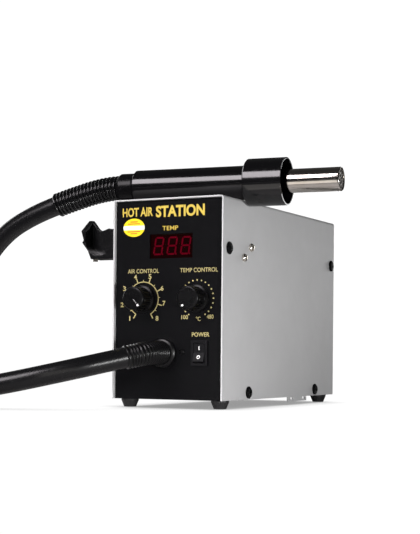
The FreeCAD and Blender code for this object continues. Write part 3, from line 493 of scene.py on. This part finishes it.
class Line:
    """The line of one NURBS spline, in metres, read by the distance along it."""

    def __init__(self, controls):
        curve = bpy.data.curves.new("route", "CURVE")
        curve.dimensions = "3D"
        spline = curve.splines.new("NURBS")
        spline.points.add(len(controls) - 1)
        for control, point in zip(spline.points, controls):
            control.co = (*(Vector(point)*MM), 1)
        spline.order_u = 3
        spline.use_endpoint_u = True
        spline.resolution_u = LINE_STEPS
        carrier = bpy.data.objects.new("route", curve)
        mesh = bpy.data.meshes.new_from_object(carrier)
        self.points = [v.co.copy() for v in mesh.vertices]
        bpy.data.objects.remove(carrier)
        bpy.data.curves.remove(curve)
        bpy.data.meshes.remove(mesh)
        self.reached = [0.0]
        for a, b in zip(self.points, self.points[1:]):
            self.reached.append(self.reached[-1] + (b - a).length)
        self.length = self.reached[-1]

    def at(self, along):
        """The point at a distance along the line."""
        along = min(max(along, 0.0), self.length)
        k = min(max(bisect.bisect_left(self.reached, along), 1), len(self.points) - 1)
        span = max(self.reached[k] - self.reached[k - 1], 1e-12)
        return self.points[k - 1].lerp(self.points[k], (along - self.reached[k - 1])/span)

    def frames(self, places, window=0.002):
        """Two side ways at each place, turned as little as can be from one to the next."""
        ways = [(self.at(p + window) - self.at(p - window)).normalized() for p in places]
        side = ways[0].orthogonal().normalized()
        result = []
        for before, way in zip([ways[0]] + ways, ways):
            side = before.rotation_difference(way) @ side
            side = (side - way*side.dot(way)).normalized()
            result.append((side, way.cross(side)))
        return result


def swept(line, places, radii, sides, inner=None):
    """A tube round a line. With inner, it is a sleeve with that bore; without, its ends close."""
    def build(shape):
        sets = line.frames(places)

        def ring(k, radius):
            one, two = sets[k]
            middle = line.at(places[k])
            made = []
            for side in range(sides):
                angle = math.tau*side/sides
                out = one*math.cos(angle) + two*math.sin(angle)
                made.append(shape.verts.new(middle + out*radius*MM))
            return made

        rows = [ring(k, radius) for k, radius in enumerate(radii)]
        if inner:
            rows += [ring(k, inner) for k in range(len(places) - 1, -1, -1)]
            rows.append(rows[0])
        for low, high in zip(rows, rows[1:]):
            for side in range(sides):
                after = (side + 1) % sides
                shape.faces.new((low[side], low[after], high[after], high[side]))
        if not inner:
            shape.faces.new(rows[0])
            shape.faces.new(rows[-1])
    return mesh_of(build)


RELIEF_SIDES = 64
RELIEF_BORE = 8.3
RIDGE_STEPS = 10
RIDGE_SHARE = 0.72


def ridged(length, pitch, low, high, lip):
    """Places and radii of a sleeve: round ridges a pitch apart, then a plain lip at its end."""
    count = round((length - lip)/pitch)
    places, radii = [0.0], [low]
    for ridge in range(count):
        for step in range(RIDGE_STEPS):
            share = (step + 0.5)/RIDGE_STEPS
            edge = abs(2*share - 1)
            rise = max(0.0, 1 - (edge/RIDGE_SHARE)**2)**0.5
            places.append((ridge + share)*pitch)
            radii.append(low + (high - low)*rise)
    start = count*pitch
    for along, radius in ((0.3, low), (0.5, high - 0.4), (1.0, high), (lip - 0.8, high),
                          (lip - 0.3, high - 0.35), (lip, high - 1.0)):
        places.append(start + along)
        radii.append(radius)
    return places, radii


def make_relief(name, line, at_tail, material, body, node, **ridges):
    """A ridged rubber sleeve round one end of the hose."""
    places, radii = ridged(**ridges)
    along = [line.length - p*MM if at_tail else p*MM for p in places]
    sleeve = swept(line, along, radii, RELIEF_SIDES, RELIEF_BORE)
    return piece(name, sleeve, material, body, [node], 50)


def make_hose():
    """The whole hose, from the gland round its coil to the handle, and its two reliefs."""
    line = Line([GLAND_FACE, RELIEF_BEND, *TO_COIL, *coil_points(), *TO_HANDLE, TAIL_BEND,
                 TAIL_FACE])
    print("hose length", round(line.length, 4))
    count = round(line.length/HOSE_STEP)
    places = [line.length*k/count for k in range(count + 1)]
    mesh = swept(line, places, [HOSE_R]*len(places), HOSE_SIDES)
    hose = piece("air_hose", mesh, "hose_rubber", None,
                 ["hose_outlet_run", "hose_coil", "hose_handle_run"])
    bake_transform(hose)

    outlet = make_relief("outlet_sleeve", line, False, "dull_rubber", "station", "outlet_relief",
                         length=38.5, pitch=2.6, low=8.75, high=9.75, lip=3.4)
    tail = make_relief("tail_sleeve", line, True, "relief_rubber", "handle", "tail_relief",
                       length=61.0, pitch=3.5, low=9.1, high=10.7, lip=3.0)
    path = [tuple(line.at(line.length*k/PATH_STEPS)) for k in range(PATH_STEPS + 1)]


# ---- carried-over CAD pieces -------------------------------------------------------------

# nodes that look unlike the rest of their slot
OWN_LOOK = {"nozzle_grill": "grill_steel", "tail_collar": "collar_plastic",
            "hose_gland": "dull_rubber", "cradle": "cradle_plastic"}


def dress_nodes():
    """Each CAD node takes the material of its record slot, or its own."""
    for part in frame["record"]["subparts"]:
        node = NODES[part["node"]]
        material = OWN_LOOK.get(part["node"], part["material_slot"])
        node.data.materials.clear()
        node.data.materials.append(MATERIALS[material])


# ---- the front panel's print -------------------------------------------------------------

INK = 0.06
SUNK = 0.01


def words(text, x0, x1, z0, z1, bold=0.0):
    """Lettering as thick as the ink, which fills x0..x1 and z0..z1 on the panel."""
    curve = bpy.data.curves.new("words", "FONT")
    curve.body = text
    curve.offset = bold
    curve.resolution_u = 6
    carrier = bpy.data.objects.new("words", curve)
    scene.collection.objects.link(carrier)
    bpy.context.view_layer.update()
    seen = carrier.evaluated_get(bpy.context.evaluated_depsgraph_get())
    flat = bpy.data.meshes.new_from_object(seen)
    bpy.data.objects.remove(carrier)
    bpy.data.curves.remove(curve)
    shape = bmesh.new()
    shape.from_mesh(flat)
    bpy.data.meshes.remove(flat)
    bmesh.ops.remove_doubles(shape, verts=shape.verts, dist=1e-5)
    xs = [v.co.x for v in shape.verts]
    ys = [v.co.y for v in shape.verts]
    for v in shape.verts:
        x = x0 + (v.co.x - min(xs))/(max(xs) - min(xs))*(x1 - x0)
        z = z0 + (v.co.y - min(ys))/(max(ys) - min(ys))*(z1 - z0)
        v.co = (x*MM, 0, z*MM)
    raised = bmesh.ops.extrude_face_region(shape, geom=shape.faces[:])
    for item in raised["geom"]:
        if isinstance(item, bmesh.types.BMVert):
            item.co.y -= INK*MM
    bmesh.ops.recalc_face_normals(shape, faces=shape.faces)
    result = bpy.data.meshes.new("words")
    shape.to_mesh(result)
    shape.free()
    return result


def bar(x0, z0, x1, z1, wide, depth=INK):
    """A straight stroke from one point to another."""
    way = Vector((x1 - x0, z1 - z0)).normalized()
    off = Vector((-way.y, way.x))*wide/2
    corners = [(x0 + off.x, z0 + off.y), (x0 - off.x, z0 - off.y),
               (x1 - off.x, z1 - off.y), (x1 + off.x, z1 + off.y)]
    return prism(corners, depth)


def disc(x, z, radius, depth=INK, sides=24):
    """A round dot."""
    ring = [(x + radius*math.cos(math.tau*k/sides), z + radius*math.sin(math.tau*k/sides))
            for k in range(sides)]
    return prism(ring, depth)


def clock(x, z, radius, degrees):
    """A point at a clock angle, from the top, turning to the right."""
    angle = math.radians(degrees)
    return x + radius*math.sin(angle), z + radius*math.cos(angle)


def arc(x, z, radius, first, turn, wide, steps, overlap, depth=INK):
    """Strokes that follow a circle clockwise, each a little over the next."""
    strokes = []
    for k in range(steps):
        a = clock(x, z, radius, first + turn*k/steps)
        b = clock(x, z, radius, first + turn*(k + 1 + overlap)/steps)
        strokes.append(bar(*a, *b, wide, depth))
    return strokes


# the two dials' middles, and the clock angles that their scales cover
AIR = (-24.0, 91.0)
TEMP = (27.0, 91.0)
FIRST = -150
TURN = 300

# the air scale: its arc's radius and width, where its ticks begin, where they end and their width
ARC_R, ARC_WIDE = 14.4, 0.7
TICKS = 14
TICK_FROM = 14.2
LONG_TICK = (18.6, 0.85)
SHORT_TICK = (16.1, 0.55)
# the temperature scale: how many steps its dots make, how far out they are and their radius
DOT_STEPS = 20
DOTS_OUT, DOTS_R = 15.2, 0.62

# name, text, left, right, bottom, top, boldness, material
HEADINGS = [
    ("title_small", "HOT AIR", -44.8, -15.5, 160.6, 168.2, 0.024, "gold_print"),
    ("title_large", "STATION", -12.5, 33.5, 159.3, 168.9, 0.034, "gold_print"),
    ("temp_heading", "TEMP", -6.1, 8.7, 148.2, 151.8, 0.006, "gold_print"),
    ("air_heading", "AIR CONTROL", -39.1, -9.2, 112.8, 116.3, 0.0, "pale_print"),
    ("temp_control_heading", "TEMP CONTROL", 11.0, 46.0, 112.8, 116.3, 0.0, "pale_print"),
    ("power_heading", "POWER", 22.5, 38.7, 59.5, 63.1, 0.008, "pale_print"),
]

# the middle of each number round the air dial; a 1 is much narrower than the rest
NUMBERS = {"1": (-37, 74.9), "2": (-44.6, 86.5), "3": (-42.5, 100.1), "4": (-31.8, 109.7),
           "5": (-17.7, 110), "6": (-6, 99.9), "7": (-4.1, 87.3), "8": (-10.6, 74.8)}
NUMBER_HALF_HIGH = 2.0
NUMBER_HALF_WIDE = 1.35
ONE_HALF_WIDE = 0.5
NUMBER_BOLD = 0.014


def print_on_panel(name, meshes, material):
    """Several bits of print as one piece on the panel's face."""
    mesh = moved(joined(meshes), spot(0, PANEL_Y - SUNK, 0))
    piece(name, mesh, material, "station", angle=30)


def air_scale():
    """The air dial's arc with eight long ticks, seven short ones and its numbers."""
    parts = arc(*AIR, ARC_R, FIRST, TURN, ARC_WIDE, steps=100, overlap=0.04)
    for k in range(TICKS + 1):
        angle = FIRST + TURN*k/TICKS
        reach, wide = LONG_TICK if k % 2 == 0 else SHORT_TICK
        parts.append(bar(*clock(*AIR, TICK_FROM, angle), *clock(*AIR, reach, angle), wide))
    for text, (x, z) in NUMBERS.items():
        half = ONE_HALF_WIDE if text == "1" else NUMBER_HALF_WIDE
        parts.append(words(text, x - half, x + half, z - NUMBER_HALF_HIGH, z + NUMBER_HALF_HIGH,
                           NUMBER_BOLD))
    return parts


def temp_scale():
    """The temperature dial's ring of dots, its unit and its two ends."""
    dots = [disc(*clock(*TEMP, DOTS_OUT, FIRST + TURN*k/DOT_STEPS), DOTS_R)
            for k in range(DOT_STEPS + 1)]
    return dots + [words("100", 12.6, 18.6, 73.9, 77.3), words("°C", 26.2, 30.4, 72.4, 76.0),
                   words("480", 36.2, 42.2, 74.2, 77.6)]


def make_print():
    """The headings, one piece each, and the two dials' scales."""
    for name, text, left, right, bottom, top, bold, material in HEADINGS:
        print_on_panel(name, [words(text, left, right, bottom, top, bold)], material)
    print_on_panel("air_scale", air_scale(), "pale_print")
    print_on_panel("temp_scale", temp_scale(), "pale_print")


LABEL_X, LABEL_Z = -33.6, 151.4
LABEL_HALF_WIDE, LABEL_HALF_HIGH = 10.3, 7.7
LABEL_THICK = 0.10
BAND_LOW, BAND_HIGH, BAND_THICK = -1.9, 1.6, 0.04
LABEL_LINE_WIDE = 0.75
# half the length of each printed line, and its height above the label's middle
LABEL_LINES = ((5.8, 3.2), (3.6, 4.9), (6.2, -3.4), (3.2, -5.0))


def label_outline(low, high, steps=96):
    """The label's oval, cut off level below low and above high."""
    points = []
    for k in range(steps):
        angle = math.tau*k/steps
        x = LABEL_HALF_WIDE*math.cos(angle)
        z = min(max(LABEL_HALF_HIGH*math.sin(angle), low), high)
        reach = LABEL_HALF_WIDE*math.sqrt(max(0.0, 1 - (z/LABEL_HALF_HIGH)**2))
        points.append((LABEL_X + min(max(x, -reach), reach), LABEL_Z + z))
    return [p for k, p in enumerate(points) if (Vector(p) - Vector(points[k - 1])).length > 1e-4]


def make_label():
    """A plain oval sticker: yellow, with a white band and four thin lines."""
    base_y = PANEL_Y - SUNK
    face_y = base_y - LABEL_THICK

    def place(name, mesh, material, y):
        piece(name, moved(mesh, spot(0, y, 0)), material, "station", angle=30)

    base = prism(label_outline(-LABEL_HALF_HIGH, LABEL_HALF_HIGH), LABEL_THICK)
    place("label_base", base, "label_yellow", base_y)
    place("label_band", prism(label_outline(BAND_LOW, BAND_HIGH), BAND_THICK), "label_white",
          face_y)
    lines = [bar(LABEL_X - half, LABEL_Z + up, LABEL_X + half, LABEL_Z + up, LABEL_LINE_WIDE)
             for half, up in LABEL_LINES]
    place("label_lines", joined(lines), "label_ink", face_y)


# ---- the display -------------------------------------------------------------------------

DISPLAY_X, DISPLAY_Z = 2.0, 135.4
DIGIT_PITCH = 12.8
DIGIT_WIDE, DIGIT_HIGH = 7.4, 13.8
DIGIT_LEAN = 0.16
STROKE = 1.45
STROKE_GAP = 0.22
STROKE_THICK = 0.12
POINT_R = 0.8
# the strokes stand this far in front of the CAD digits
DIGITS_AHEAD = 0.405


def stroke(a, b):
    """One segment: a bar with pointed ends, a little short of both its corners."""
    way = (b - a).normalized()
    off = Vector((-way.y, way.x))*STROKE/2
    tip = way*STROKE/2
    a, b = a + way*STROKE_GAP, b - way*STROKE_GAP
    return [a, a + tip + off, b - tip + off, b, b - tip - off, a + tip - off]


def make_digits():
    """Three seven-segment digits with their points, leaning to the right."""
    low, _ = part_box("display_digits")
    front = (low.y - CASE_Y)/MM
    half, up = DIGIT_WIDE/2, DIGIT_HIGH/2
    corners = {"tl": (-half, up), "tr": (half, up), "ml": (-half, 0), "mr": (half, 0),
               "bl": (-half, -up), "br": (half, -up)}
    parts = []
    for x in (DISPLAY_X - DIGIT_PITCH, DISPLAY_X, DISPLAY_X + DIGIT_PITCH):
        for first, last in (("tl", "tr"), ("tl", "ml"), ("tr", "mr"), ("ml", "mr"),
                            ("ml", "bl"), ("mr", "br"), ("bl", "br")):
            outline = [(x + p.x + DIGIT_LEAN*p.y, DISPLAY_Z + p.y)
                       for p in stroke(Vector(corners[first]), Vector(corners[last]))]
            parts.append(prism(outline, STROKE_THICK))
        parts.append(disc(x + half + 0.9 - DIGIT_LEAN*up, DISPLAY_Z - up + 0.1, POINT_R,
                          STROKE_THICK, sides=20))
    mesh = moved(joined(parts), spot(0, front - DIGITS_AHEAD, 0))
    piece("digit_segments", mesh, "segment_red", "station", angle=30)


# ---- the handle's nose -------------------------------------------------------------------

HANDLE_TURN = math.radians(6.0)
TUBE_R = 10.0
TUBE_BORE = 9.4
TUBE_STEP_R = 10.25


def make_tube():
    """The steel tube with its rolled rim, along the middle of the CAD one's box."""
    low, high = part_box("heat_tube")
    nose = Vector((math.cos(HANDLE_TURN), math.sin(HANDLE_TURN), 0))
    reach = high.x - low.x - 2*TUBE_STEP_R*MM*math.sin(HANDLE_TURN)
    front = reach/math.cos(HANDLE_TURN)/MM/2
    back = -front
    rows = [(TUBE_BORE, back)]
    rows += [(TUBE_R, back + (front - 1.2 - back)*k/12) for k in range(13)]
    rows += [(9.97, front - 0.5), (9.85, front - 0.15), (9.65, front), (9.45, front - 0.1),
             (TUBE_BORE, front - 0.5)]
    tube = lathe(rows, 128, hollow=True)
    turn = Vector((0, 0, 1)).rotation_difference(nose).to_matrix()
    piece("steel_tube", moved(tube, (low + high)/2, turn), "tube_steel", "handle",
          ["heat_tube"], 50)


# ---- controls ----------------------------------------------------------------------------

KNOB_BASE = PANEL_Y - 0.3
KNOB_HIGH = 17.7
FLUTES = 18
FLUTE_STEPS = 12
# (radius, height) rows. The back is hollow for the shaft and for the nut on the panel.
KNOB_BACK = [(0, 14.7), (3, 14.7), (3, 4.6), (7, 4.6), (7, 0)]
KNOB_SKIRT = [(11.1, 0), (11.4, 0.3), (11.4, 2.0), (11.1, 2.5), (10.2, 2.9), (9.3, 3.1)]
KNOB_GRIP = [(9.15, 3.5), (9.15, 9), (9.15, 13.6)]
KNOB_FRONT = [(9.2, 14.1), (9.75, 14.35), (9.8, 14.7), (9.8, 16.5), (9.6, 17.1), (9.1, 17.5),
              (8.4, KNOB_HIGH), (7.9, KNOB_HIGH), (0, KNOB_HIGH)]
DOT_ROWS = [(0, 0), (0.95, 0), (0.95, 0.16), (0.7, 0.3), (0, 0.34)]
DOT_OUT = 7.6
# from and to, out from the knob's middle
MARK_FROM, MARK_TO, MARK_WIDE = 1.0, 5.6, 0.32
FLUTE_OUT, FLUTE_IN = 0.62, -0.25


def make_knob(name, at, degrees, line):
    """A fluted knob with a skirt and a plain front disc, its white dot and perhaps a line."""
    first = len(KNOB_BACK + KNOB_SKIRT)
    grip = range(first, first + len(KNOB_GRIP))

    def flute(row, angle):
        if row not in grip:
            return 0
        share = (angle*FLUTES/math.tau) % 1
        return FLUTE_OUT if 0.25 < share < 0.75 else FLUTE_IN

    knob = lathe(KNOB_BACK + KNOB_SKIRT + KNOB_GRIP + KNOB_FRONT, FLUTES*FLUTE_STEPS, flute)
    knob.transform(TO_FRONT)
    moved(knob, spot(at[0], KNOB_BASE, at[1]))
    piece(f"{name}_knob_cap", knob, "knob_plastic", f"{name}_dial",
          [f"{name}_knob"], 35)
    face = KNOB_BASE - KNOB_HIGH
    x, z = clock(*at, DOT_OUT, degrees)
    dot = lathe(DOT_ROWS, 28)
    dot.transform(TO_FRONT)
    piece(f"{name}_knob_dot", moved(dot, spot(x, face + 0.05, z)), "white_print",
          f"{name}_dial")
    if line:
        mark = bar(*clock(*at, MARK_FROM, degrees), *clock(*at, MARK_TO, degrees), MARK_WIDE)
        piece(f"{name}_knob_line", moved(mark, spot(0, face, 0)), "grey_paint",
              f"{name}_dial")


ROCKER_PIVOT = (30, 3, 46)
ROCKER_TILT = math.radians(-10)
# each half of the rocker rises from its middle to its end
ROCKER_MIDDLE = 1.5
ROCKER_SLOPE = math.atan2(1.3, 7.6)
MARK_THICK = 0.08


def make_switch_marks():
    """The white I and O on the rocker's two faces."""
    one = prism([(-0.4, -1.5), (0.4, -1.5), (0.4, 1.5), (-0.4, 1.5)], MARK_THICK)
    ring = joined(arc(0, 0, 1.25, 0, 360, 0.7, steps=32, overlap=0.05, depth=MARK_THICK))
    marks = []
    for mesh, height, way in ((one, 3.6, 1), (ring, -3.8, -1)):
        out = ROCKER_MIDDLE + abs(height)*math.tan(ROCKER_SLOPE) + SUNK
        mesh.transform(Matrix.Rotation(way*ROCKER_SLOPE, 4, "X"))
        mesh.transform(Matrix.Translation(Vector((0, -out*MM, height*MM))))
        marks.append(mesh)
    both = joined(marks)
    both.transform(Matrix.Translation(spot(*ROCKER_PIVOT)) @ Matrix.Rotation(ROCKER_TILT, 4, "X"))
    piece("switch_marks", both, "white_print", "rocker")


# ---- floor, light ------------------------------------------------------------------------

FLOOR_R = 6
FLOOR_DOWN = 0.0004


def make_floor_material():
    """White to the camera, with a soft contact shadow; other rays see it fade from white."""
    n = Nodes("floor")
    n.set(Roughness=0.9, Specular_IOR_Level=0.1)
    radius = n.add("ShaderNodeVectorMath", operation="LENGTH")
    n.link(n.place, radius.inputs[0])
    far = n.ramp(radius.outputs["Value"], 0.17, 0.40)
    n.link(n.blend(far, (0.74, 0.73, 0.72), (0.03, 0.03, 0.03)), n.shader.inputs["Base Color"])
    near = n.add("ShaderNodeAmbientOcclusion", samples=8)
    near.inputs["Distance"].default_value = 0.045
    shade = n.ramp(near.outputs["AO"], 0.0, 0.85, 0.30, 1.02)
    glow = n.add("ShaderNodeEmission")
    glow.inputs["Color"].default_value = (1, 1, 1, 1)
    n.link(shade, glow.inputs["Strength"])
    path = n.add("ShaderNodeLightPath")
    mix = n.add("ShaderNodeMixShader")
    n.link(path.outputs["Is Camera Ray"], mix.inputs["Fac"])
    n.link(n.shader.outputs["BSDF"], mix.inputs[1])
    n.link(glow.outputs["Emission"], mix.inputs[2])
    out = n.tree.nodes["Material Output"]
    n.link(mix.outputs["Shader"], out.inputs["Surface"])
    return n.material


def make_stage():
    """A round floor just under the feet."""
    shape = bmesh.new()
    bmesh.ops.create_circle(shape, cap_ends=True, segments=64, radius=FLOOR_R)
    mesh = bpy.data.meshes.new("floor")
    shape.to_mesh(mesh)
    shape.free()
    mesh.materials.append(make_floor_material())
    floor = bpy.data.objects.new("floor", mesh)
    floor.location.z = -FLOOR_DOWN
    scene.collection.objects.link(floor)


def make_world():
    """White to the camera, and to other rays a dim room, a little lighter at the back."""
    world = bpy.data.worlds.new("studio")
    scene.world = world
    world.use_nodes = True
    tree = world.node_tree
    tree.nodes.clear()
    out = tree.nodes.new("ShaderNodeOutputWorld")
    seen = tree.nodes.new("ShaderNodeBackground")
    seen.inputs["Color"].default_value = (1, 1, 1, 1)
    seen.inputs["Strength"].default_value = 1.05
    lit = tree.nodes.new("ShaderNodeBackground")
    lit.inputs["Strength"].default_value = 1.0
    place = tree.nodes.new("ShaderNodeTexCoord")
    split = tree.nodes.new("ShaderNodeSeparateXYZ")
    back = tree.nodes.new("ShaderNodeMapRange")
    back.interpolation_type = "SMOOTHSTEP"
    back.inputs["From Min"].default_value = -0.2
    back.inputs["From Max"].default_value = 0.8
    back.inputs["To Min"].default_value = 0.03
    back.inputs["To Max"].default_value = 0.06
    tree.links.new(place.outputs["Generated"], split.inputs["Vector"])
    tree.links.new(split.outputs["Y"], back.inputs["Value"])
    tree.links.new(back.outputs["Result"], lit.inputs["Color"])
    path = tree.nodes.new("ShaderNodeLightPath")
    mix = tree.nodes.new("ShaderNodeMixShader")
    tree.links.new(path.outputs["Is Camera Ray"], mix.inputs["Fac"])
    tree.links.new(lit.outputs["Background"], mix.inputs[1])
    tree.links.new(seen.outputs["Background"], mix.inputs[2])
    tree.links.new(mix.outputs["Shader"], out.inputs["Surface"])


def softbox(name, way, far, wide, tall, power, colour=(1, 1, 1), target=(0, 0, 0.1)):
    """A flat light that looks at target from a direction and a distance, in metres and watts."""
    data = bpy.data.lights.new(name, "AREA")
    data.shape = "RECTANGLE"
    data.size = wide
    data.size_y = tall
    data.energy = power
    data.color = colour
    light = bpy.data.objects.new(name, data)
    scene.collection.objects.link(light)
    way = Vector(way).normalized()
    light.location = Vector(target) + way*far
    light.rotation_mode = "QUATERNION"
    light.rotation_quaternion = (-way).to_track_quat("-Z", "Y")
    return light


def make_lights():
    """Seven flat lights: six round the object, and a card for the handle's nose."""
    softbox("key", (-0.29, -0.80, 0.48), far=1.5, wide=0.68, tall=0.72, power=17.8,
            colour=(1.0, 0.94, 0.98), target=(0.0, -0.08, 0.19))
    # lights the panel's print without a reflection of its own
    front = softbox("front", (-0.25, -1.0, -0.02), far=1.5, wide=1.0, tall=0.16, power=18,
                    target=(0.0, -0.08, 0.12))
    front.visible_glossy = False
    softbox("right", (0.75, -0.55, 0.0), far=0.50, wide=0.3, tall=0.05, power=2.0,
            target=(0.037, -0.02, 0.03))
    softbox("back", (-0.15, 1.0, 0.10), far=1.7, wide=1.6, tall=0.4, power=8.5)
    softbox("left", (-1.0, 0.35, 0.30), far=1.7, wide=1.0, tall=0.8, power=7)
    top = softbox("top", (-0.6, 0.1, 1.0), far=1.7, wide=1.0, tall=1.0, power=10)
    top.visible_glossy = False
    # a low white card in front, which the handle's nose mirrors
    card = softbox("card", (-0.075, -0.263, -0.155), far=0.30, wide=0.15, tall=0.14, power=0.075,
                   colour=(1.0, 0.95, 0.9), target=(0.085, -0.08, 0.19))
    card.visible_camera = False


# ---- everything --------------------------------------------------------------------------

make_camera()
make_materials()
make_hose()
dress_nodes()
make_print()
make_label()
make_digits()
make_tube()
make_knob("air", AIR, 140, line=True)
make_knob("temp", TEMP, -147, line=False)
make_switch_marks()
make_stage()
make_world()
make_lights()
scene.view_settings.view_transform = "Standard"
scene.view_settings.look = "None"
